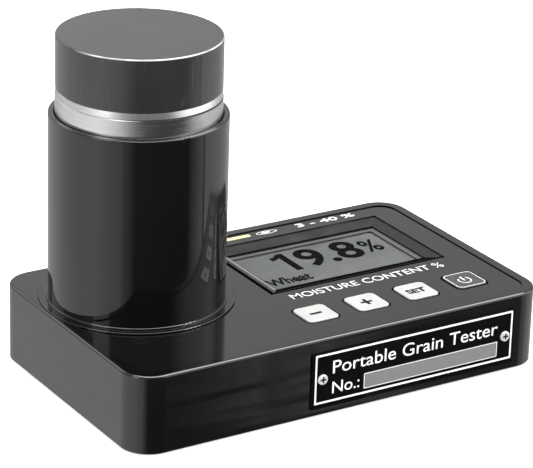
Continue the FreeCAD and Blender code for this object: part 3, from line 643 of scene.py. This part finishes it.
def plate_mesh(outer, thick, inner=None):
    """A thin raised patch, or a ring between two loops of equal length, with a softened top edge."""
    shape = bmesh.new()
    soft = min(0.3 * thick, 0.01)

    def ring(loop, z, pull=0.0):
        cx = sum(p[0] for p in loop) / len(loop)
        cy = sum(p[1] for p in loop) / len(loop)
        made = []
        for x, y in loop:
            dx, dy = cx - x, cy - y
            far = math.hypot(dx, dy)
            made.append(shape.verts.new((x + dx / far * pull, y + dy / far * pull, z)))
        return made

    def bridge(a, b):
        count = len(a)
        for i in range(count):
            shape.faces.new((a[i], a[(i + 1) % count], b[(i + 1) % count], b[i]))

    foot, side, top = ring(outer, 0), ring(outer, thick - soft), ring(outer, thick, soft)
    bridge(foot, side)
    bridge(side, top)
    if inner is None:
        shape.faces.new(top)
        shape.faces.new(list(reversed(foot)))
    else:
        foot_in, side_in, top_in = ring(inner, 0), ring(inner, thick - soft), ring(inner, thick, -soft)
        bridge(top, top_in)
        bridge(top_in, side_in)
        bridge(side_in, foot_in)
        bridge(foot_in, foot)
    mesh = bpy.data.meshes.new("patch")
    shape.to_mesh(mesh)
    shape.free()
    return mesh


def patch(name, outer, level, material, body="casing", side=TOP, thick=0.03, inner=None):
    """Lays a thin patch, or a ring when it has an inner loop, on a level of the frame."""
    mesh = plate_mesh(outer, thick, inner)
    place = Matrix.Scale(MM, 4) @ side @ Matrix.Translation((0, 0, level))
    return lay(name, mesh, place, material, body)


def strip_mesh(loop_pairs, thick):
    """A raised band between two rows of points."""
    shape = bmesh.new()
    rows = []
    for a, b in loop_pairs:
        rows.append([shape.verts.new((a[0], a[1], 0)), shape.verts.new((b[0], b[1], 0)),
                     shape.verts.new((b[0], b[1], thick)), shape.verts.new((a[0], a[1], thick))])
    for first, second in zip(rows, rows[1:]):
        for i in range(4):
            shape.faces.new((first[i], first[(i + 1) % 4], second[(i + 1) % 4], second[i]))
    shape.faces.new(rows[0])
    shape.faces.new(list(reversed(rows[-1])))
    mesh = bpy.data.meshes.new("band")
    shape.to_mesh(mesh)
    shape.free()
    return mesh


def arc(name, cx, cy, radius, width, start, end, level, material, body, thick=0.03, steps=28):
    """A thin raised part of a ring between two angles in degrees."""
    pairs = []
    for i in range(steps + 1):
        a = math.radians(start + (end - start) * i / steps)
        pairs.append([(cx + r * math.cos(a), cy + r * math.sin(a))
                      for r in (radius - width / 2, radius + width / 2)])
    place = Matrix.Scale(MM, 4) @ Matrix.Translation((0, 0, level))
    return lay(name, strip_mesh(pairs, thick), place, material, body)


def outline(name, points, level, material, body="casing", side=TOP, thick=0.03):
    """A thin raised patch with the given corners, counter-clockwise or clockwise."""
    shape = bmesh.new()
    low = [shape.verts.new((x, y, 0)) for x, y in points]
    high = [shape.verts.new((x, y, thick)) for x, y in points]
    for i in range(len(points)):
        j = (i + 1) % len(points)
        shape.faces.new((low[i], low[j], high[j], high[i]))
    shape.faces.new(low)
    shape.faces.new(list(reversed(high)))
    shape.normal_update()
    bmesh.ops.triangulate(shape, faces=[f for f in shape.faces if len(f.verts) > 4])
    mesh = bpy.data.meshes.new(name)
    shape.to_mesh(mesh)
    shape.free()
    return lay(name, mesh, Matrix.Scale(MM, 4) @ side @ Matrix.Translation((0, 0, level)), material, body)


# The display's sloping surround: half sizes of its foot and of its opening in the sheet
display_middle = centre_of("display_bezel")
view_half = (39.2, 20.6)
window_half = (44.75, 27.7)
slope_depth = 2.7
slope_foot = top_of("upper_housing") - slope_depth
slope_head = top_of("display_bezel")


def mitre(corner, rise):
    """Point on a mitre line of the sloping surround, rise millimetres above its foot."""
    part = rise / (slope_head - slope_foot)
    reach = [side * (low + part * (high - low)) for side, low, high in zip(corner, view_half, window_half)]
    return display_middle.x + reach[0], display_middle.y + reach[1], slope_foot + rise


def slope_band(name, corner_a, corner_b, high, material):
    """Thin strip along the foot of one side of the sloping surround; it carries painted shade on three
    sides and a painted highlight on the left.
    """
    shape = bmesh.new()
    spots = (mitre(corner_a, 0.0), mitre(corner_b, 0.0), mitre(corner_b, high), mitre(corner_a, high))
    under = [shape.verts.new(spot) for spot in spots]
    upper = [shape.verts.new(v.co + Vector((0, 0, 0.03))) for v in under]
    shape.faces.new(upper)
    shape.faces.new(list(reversed(under)))
    for i in range(4):
        j = (i + 1) % 4
        shape.faces.new((under[i], under[j], upper[j], upper[i]))
    mesh = bpy.data.meshes.new(name)
    shape.to_mesh(mesh)
    shape.free()
    lay(name, mesh, Matrix.Scale(MM, 4), material, "casing")


# Painted shade along the foot of the surround, widest at the front
slope_band("display_slope_shade_front", (-1, -1), (1, -1), 1.15, slope_shade_paint)
slope_band("display_slope_shade_right", (1, -1), (1, 1), 0.10, slope_shade_paint)
slope_band("display_slope_shade_back", (1, 1), (-1, 1), 0.22, slope_shade_paint)
# Painted highlight along the foot of the surround's left side
slope_band("display_rim_left_painted_highlight", (-1, 1), (-1, -1), 0.6, rim_highlight_paint)

# Grey margin on the window, painted light: it covers the shaded glass under the surround's lip in the lit
# display's tone; how far its inner edges lie from the display's middle
gap = 0.02
margin_left, margin_right, margin_front, margin_back = 38.7, 36.4, 20.2, 18.0
patch("display_window_painted_light",
      centred_loop(display_middle, view_half[0] - gap, view_half[1] - gap, 0.2),
      top_of("display_window"), painted_light_margin, thick=0.01,
      inner=rounded_loop(display_middle.x - margin_left, display_middle.x + margin_right,
                         display_middle.y - margin_front, display_middle.y + margin_back, 0.2))

# The printed sheet: dark borders round its openings, painted shade that is widest at the display's left and
# front, then legends, a stripe and a kernel
sheet = top_of("front_overlay")
half_x, half_y = window_half
border_left, border_front, border_thin = 2.0, 1.3, 0.3
# Painted shade round the display's opening, widest on its left and front
patch("sheet_window_painted_shade",
      rounded_loop(display_middle.x - half_x - border_left, display_middle.x + half_x + border_thin,
                   display_middle.y - half_y - border_front, display_middle.y + half_y + border_thin, 0.1),
      sheet, outline_shade_ink, thick=0.02,
      inner=centred_loop(display_middle, half_x - 0.01, half_y - 0.01, 0.05))

KEYS = ("minus", "plus", "set", "power")
key_half_x, key_half_y, key_border = 8.1, 7.9, 0.6
# Painted shade round each key, where its gap lies
for key in KEYS:
    spot = centre_of("key_" + key)
    patch("sheet_key_painted_shade_" + key,
          centred_loop(spot, key_half_x + key_border, key_half_y + key_border, 3.5, 8),
          sheet, outline_shade_ink, thick=0.02, inner=centred_loop(spot, key_half_x, key_half_y, 2.9, 8))

words("sheet_legend", "MOISTURE CONTENT %", -1.1, 78.5, -18.9, -14.0, sheet, ink_white, weight=0.002)
words("sheet_range", "3 - 40 %", 45.0, 76.6, 50.4, 54.3, sheet, ink_white, weight=0.025)
patch("sheet_stripe", rounded_loop(-12.0, 20.2, 51.2, 53.9, 0.4, 3), sheet, ink_cream)
kernel_x, kernel_y = 29.0, 52.3
patch("sheet_kernel_outline", ellipse(kernel_x, kernel_y, 5.6, 1.75), sheet, ink_white,
      inner=ellipse(kernel_x, kernel_y, 5.05, 1.3))
patch("sheet_kernel", ellipse(kernel_x - 0.6, kernel_y, 2.6, 0.75), sheet, ink_white)

# The reading, just above the display's film; the tall digits share a foot and a head
reading = top_of("lcd_polarizer") + 0.01
foot, head = 14.5, 34.4
stem_left, stem_right = 22.0, 25.6
one = [(17.4, 31.4), (20.2, 32.1), (22.2, head), (stem_right, head), (stem_right, foot), (stem_left, foot),
       (stem_left, 30.0), (20.1, 28.9), (17.4, 28.0)]
outline("display_value_one", one, reading, ink_segment)
words("display_value", "9.8", 29.2, 60.8, foot, head, reading, ink_segment, weight=0.025, capital="8")
words("display_unit", "%", 62.3, 71.6, 16.8, 30.2, reading, ink_segment, weight=0.02, capital="8")
words("display_grain", "Wheat", 1.8, 24.0, 3.3, 10.8, reading, ink_segment, weight=0.032)

# The plate on the front face: a frame, a field for the number, its texts and painted shade in the screws'
# recesses
plate_front = -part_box("nameplate")[0].y / MM
plate_text_left = -8.5
patch("plate_frame", rounded_loop(-17.3, 84.8, 5.9, 28.6, 0.4), plate_front, ink_white, side=FRONT,
      inner=rounded_loop(-16.5, 84.0, 6.8, 27.7, 0.2))
patch("plate_field", rounded_loop(7.8, 76.8, 8.5, 15.0, 0.2), plate_front, ink_grey, side=FRONT)
patch("plate_field_edge", rounded_loop(7.5, 77.1, 8.2, 15.3, 0.3), plate_front, ink_white, side=FRONT,
      inner=rounded_loop(7.85, 76.75, 8.55, 14.95, 0.2))
words("plate_title", "Portable Grain Tester", plate_text_left, 76.9, 18.8, 24.6, plate_front, ink_white,
      side=FRONT)
words("plate_number", "No.:", plate_text_left, 5.2, 9.6, 14.9, plate_front, ink_white, side=FRONT)

screw_low, screw_high = (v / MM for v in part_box("nameplate_screws"))
screw_radius = (screw_high.z - screw_low.z) / 2
screw_z = (screw_low.z + screw_high.z) / 2
recess_level = -screw_low.y - 0.12
# A dark cross in each screw head's recess: painted shade
for side, screw_x in (("left", screw_low.x + screw_radius), ("right", screw_high.x - screw_radius)):
    recess = cross_points(screw_x, screw_z, screw_radius * 0.61, screw_radius * 0.18)
    outline("screw_recess_" + side, recess, recess_level, recess_shade_paint, side=FRONT)


# Key legends -----------------------------------------------------------------------------------

def dished(piece, x, y, radius=5.2, depth=0.25):
    """Bends a legend into the shallow dish of its key, after cutting it into short steps."""
    ball = (radius ** 2 + depth ** 2) / (2 * depth)
    shape = bmesh.new()
    shape.from_mesh(piece.data)
    for axis in (0, 1):
        low = min(v.co[axis] for v in shape.verts)
        high = max(v.co[axis] for v in shape.verts)
        steps = max(1, round((high - low) / (0.8 * MM)))
        for i in range(1, steps):
            level = low + (high - low) * i / steps
            place, normal = Vector((0, 0, 0)), Vector((0, 0, 0))
            place[axis], normal[axis] = level, 1.0
            everything = list(shape.verts) + list(shape.edges) + list(shape.faces)
            bmesh.ops.bisect_plane(shape, geom=everything, dist=1e-8, plane_co=place, plane_no=normal)
    for v in shape.verts:
        away = math.hypot(v.co.x / MM - x, v.co.y / MM - y)
        if away < radius:
            v.co.z -= (math.sqrt(ball ** 2 - away ** 2) - (ball - depth)) * MM
    shape.to_mesh(piece.data)
    shape.free()


for key in KEYS:
    body = "key_" + key
    middle, top = centre_of(body), top_of(body)
    x, y = middle.x, middle.y
    level = top + 0.004
    made = []
    if key == "minus":
        bar = centred_loop(middle, 2.9, 0.85, 0.2)
        made.append(patch("legend_minus_bar", bar, level, ink_dark, body))
    if key == "plus":
        made.append(outline("legend_plus_cross", cross_points(x, y, 2.9, 0.75), level, ink_dark, body))
    if key == "set":
        made.append(words("legend_set", "SET", x - 4.9, x + 4.9, y - 2.1, y + 2.1, level, ink_dark, body,
                          weight=0.045))
    if key == "power":
        patch("legend_power_outline", centred_loop(middle, 7.35, 7.15, 2.35, 8), top, ink_white, body,
              inner=centred_loop(middle, 6.95, 6.75, 2.0, 8))
        made.append(arc("legend_power_ring", x, y - 0.3, 2.9, 0.6, 128, 412, level, ink_white, body))
        bar = rounded_loop(x - 0.4, x + 0.4, y - 0.3, y + 3.6, 0.15)
        made.append(patch("legend_power_bar", bar, level, ink_white, body))
    for piece in made:
        dished(piece, x, y)


# Stage, camera and light -----------------------------------------------------------------------

def floor():
    """Pale floor under the object; the gloss does not reflect it."""
    g = Graph("floor_matt_white")
    speck = g.noise(3.0, 3.0)
    g.set(Base_Color=g.mix(g.span(speck, 0.3, 0.7), (0.84, 0.84, 0.84), (0.86, 0.86, 0.86)), Roughness=0.9,
          Emission_Color=(1.0, 1.0, 1.0), Emission_Strength=0.45)
    half = 12.0
    corners = [(-half, -half, 0), (half, -half, 0), (half, half, 0), (-half, half, 0)]
    mesh = bpy.data.meshes.new("floor")
    mesh.from_pydata(corners, [], [(0, 1, 2, 3)])
    mesh.materials.append(g.material)
    piece = bpy.data.objects.new("floor", mesh)
    scene.collection.objects.link(piece)
    piece.visible_glossy = False


def backdrop():
    """Pale dome beyond the floor; only the camera sees it."""
    g = Graph("backdrop_pale")
    g.set(Base_Color=(0.0, 0.0, 0.0), Roughness=1.0, Emission_Color=(1.0, 1.0, 1.0),
          Emission_Strength=1.0)
    shape = bmesh.new()
    bmesh.ops.create_uvsphere(shape, u_segments=48, v_segments=24, radius=11.5)
    mesh = bpy.data.meshes.new("backdrop")
    shape.to_mesh(mesh)
    shape.free()
    mesh.materials.append(g.material)
    piece = bpy.data.objects.new("backdrop", mesh)
    scene.collection.objects.link(piece)
    piece.visible_diffuse = piece.visible_glossy = piece.visible_shadow = False
    piece.visible_transmission = False


def camera():
    """The photo's camera; its heading turns from +Y towards +X, and it looks down at the object."""
    place = (-0.6023, -0.9410, 0.5096)
    azimuth, elevation, roll = math.radians(32.44), math.radians(22.01), math.radians(1.8)
    focal_length, sensor_width = 187.6458, 36.0
    ahead = Vector((math.sin(azimuth) * math.cos(elevation), math.cos(azimuth) * math.cos(elevation),
                    -math.sin(elevation)))
    level = Vector((math.cos(azimuth), -math.sin(azimuth), 0))
    upright = level.cross(ahead)
    right = math.cos(roll) * level + math.sin(roll) * upright
    up = math.cos(roll) * upright - math.sin(roll) * level
    data = bpy.data.cameras.new("camera")
    data.sensor_fit = "HORIZONTAL"
    data.sensor_width = sensor_width
    data.lens = focal_length
    data.clip_start = 0.05
    data.clip_end = 60.0
    holder = bpy.data.objects.new("camera", data)
    facing = Matrix((right, up, -ahead)).transposed().to_4x4()
    holder.matrix_world = Matrix.Translation(place) @ facing
    scene.collection.objects.link(holder)
    scene.camera = holder


def softbox(name, place, target, width, height, energy, gloss_only=False):
    """Rectangular lamp; one that is gloss only is seen in reflections and lights nothing else."""
    data = bpy.data.lights.new(name, "AREA")
    data.shape = "RECTANGLE"
    data.size, data.size_y = width, height
    data.energy = energy
    holder = bpy.data.objects.new(name, data)
    aim = Vector(target) - Vector(place)
    holder.matrix_world = Matrix.Translation(place) @ aim.to_track_quat("-Z", "Y").to_matrix().to_4x4()
    holder.visible_camera = False
    holder.visible_diffuse = not gloss_only
    scene.collection.objects.link(holder)


# Light round the object: angle from the front (-Y) towards the right (+X), and radiance there,
# first below the horizon and then above it
LOW_LIGHT = [(-180, 0.7), (-153, 1.1), (-114, 1.3), (-84, 1.5), (-64, 1.15), (-51, 1.0), (-48, 0.65),
             (-41, 0.45), (-33, 0.1), (36, 0.05), (46, 0.5), (56, 0.85), (60.5, 0.95), (61.5, 0.2),
             (63.5, 0.2), (64.5, 1.6), (66.5, 1.1), (72, 1.1), (106, 0.75), (144, 0.6), (180, 0.7)]
HIGH_LIGHT = [(-180, 0.76), (-150, 0.7), (-112, 0.9), (-90, 1.45), (-58, 0.75), (-40, 0.3), (15, 0.3),
              (36, 2.8), (78, 3.4), (98, 0.7), (120, 0.66), (143, 0.70), (152, 0.9), (166, 0.95),
              (180, 0.76)]
# How much the wedge counts at each angle, and its radiance from the horizon (0) straight down (1)
WEDGE = [(-180, 0.0), (30.4, 0.0), (33.0, 1.0), (34, 1.0), (38, 0.0), (180, 0.0)]
WEDGE_GLOW = [(0.0, 0.05), (0.400, 0.05), (0.412, 0.75), (0.432, 0.75), (0.440, 0.08), (0.462, 0.08),
              (0.470, 0.7), (0.5, 0.6), (1.0, 0.5)]


def world():
    """Pale surroundings, dark in front, with a narrow wedge below the horizon that has its own light."""
    made = bpy.data.worlds.new("studio")
    made.use_nodes = True
    tree = made.node_tree
    tree.nodes.clear()

    def add(kind, **settings):
        node = tree.nodes.new("ShaderNode" + kind)
        for key, value in settings.items():
            setattr(node, key, value)
        return node

    def calc(operation, a, b=0.0):
        node = add("Math", operation=operation)
        for socket, value in zip(node.inputs, (a, b)):
            if isinstance(value, bpy.types.NodeSocket):
                tree.links.new(value, socket)
            else:
                socket.default_value = value
        return node.outputs[0]

    def ramp(value, stops):
        node = add("ValToRGB")
        tree.links.new(value, node.inputs[0])
        band = node.color_ramp
        band.elements[0].position, band.elements[1].position = stops[0][0], stops[-1][0]
        for position, _ in stops[1:-1]:
            band.elements.new(position)
        for element, (_, level) in zip(band.elements, stops):
            element.color = (level, level, level, 1.0)
        return node.outputs[0]

    split = add("SeparateXYZ")
    tree.links.new(add("TexCoord").outputs["Generated"], split.inputs[0])
    x, y, z = split.outputs
    turn = calc("ADD", calc("DIVIDE", calc("ARCTAN2", x, calc("MULTIPLY", y, -1.0)), 2 * math.pi), 0.5)

    def round_stops(pairs):
        return [((angle + 180) / 360, level) for angle, level in pairs]

    def mix(factor, a, b):
        node = add("Mix", data_type="RGBA", clamp_factor=True)
        for socket, value in zip((node.inputs[0], node.inputs[6], node.inputs[7]), (factor, a, b)):
            tree.links.new(value, socket)
        return node.outputs[2]

    lower = ramp(turn, round_stops(LOW_LIGHT))
    upper = ramp(turn, round_stops(HIGH_LIGHT))
    wedge = ramp(turn, round_stops(WEDGE))
    glow = ramp(calc("MULTIPLY", z, -1.0), WEDGE_GLOW)
    lit = mix(wedge, lower, glow)
    sky = mix(calc("ADD", calc("MULTIPLY", z, 4.0), 1.0), lit, upper)
    back = add("Background")
    tree.links.new(sky, back.inputs[0])
    back.inputs[1].default_value = 1.0
    tree.links.new(back.outputs[0], add("OutputWorld").inputs[0])
    scene.world = made


floor()
backdrop()
camera()
world()
softbox("overhead_softbox", (0.30, -0.05, 1.3), (0.30, -0.05, 0.0), width=1.8, height=1.2, energy=20.0)
softbox("edge_light", (0.30, -0.05, 1.32), (0.30, -0.05, 0.0), width=1.8, height=1.2, energy=45.0,
        gloss_only=True)
softbox("rear_left_light", (-0.66, 1.17, 0.78), (-0.1, 0.0, 0.03), width=0.8, height=0.8, energy=3.6,
        gloss_only=True)
softbox("left_softbox", (-1.3, -0.31, 0.55), (-0.06, 0, 0.1), width=0.5, height=0.9, energy=5.0)

scene.view_settings.view_transform = "Standard"
scene.view_settings.look = "None"
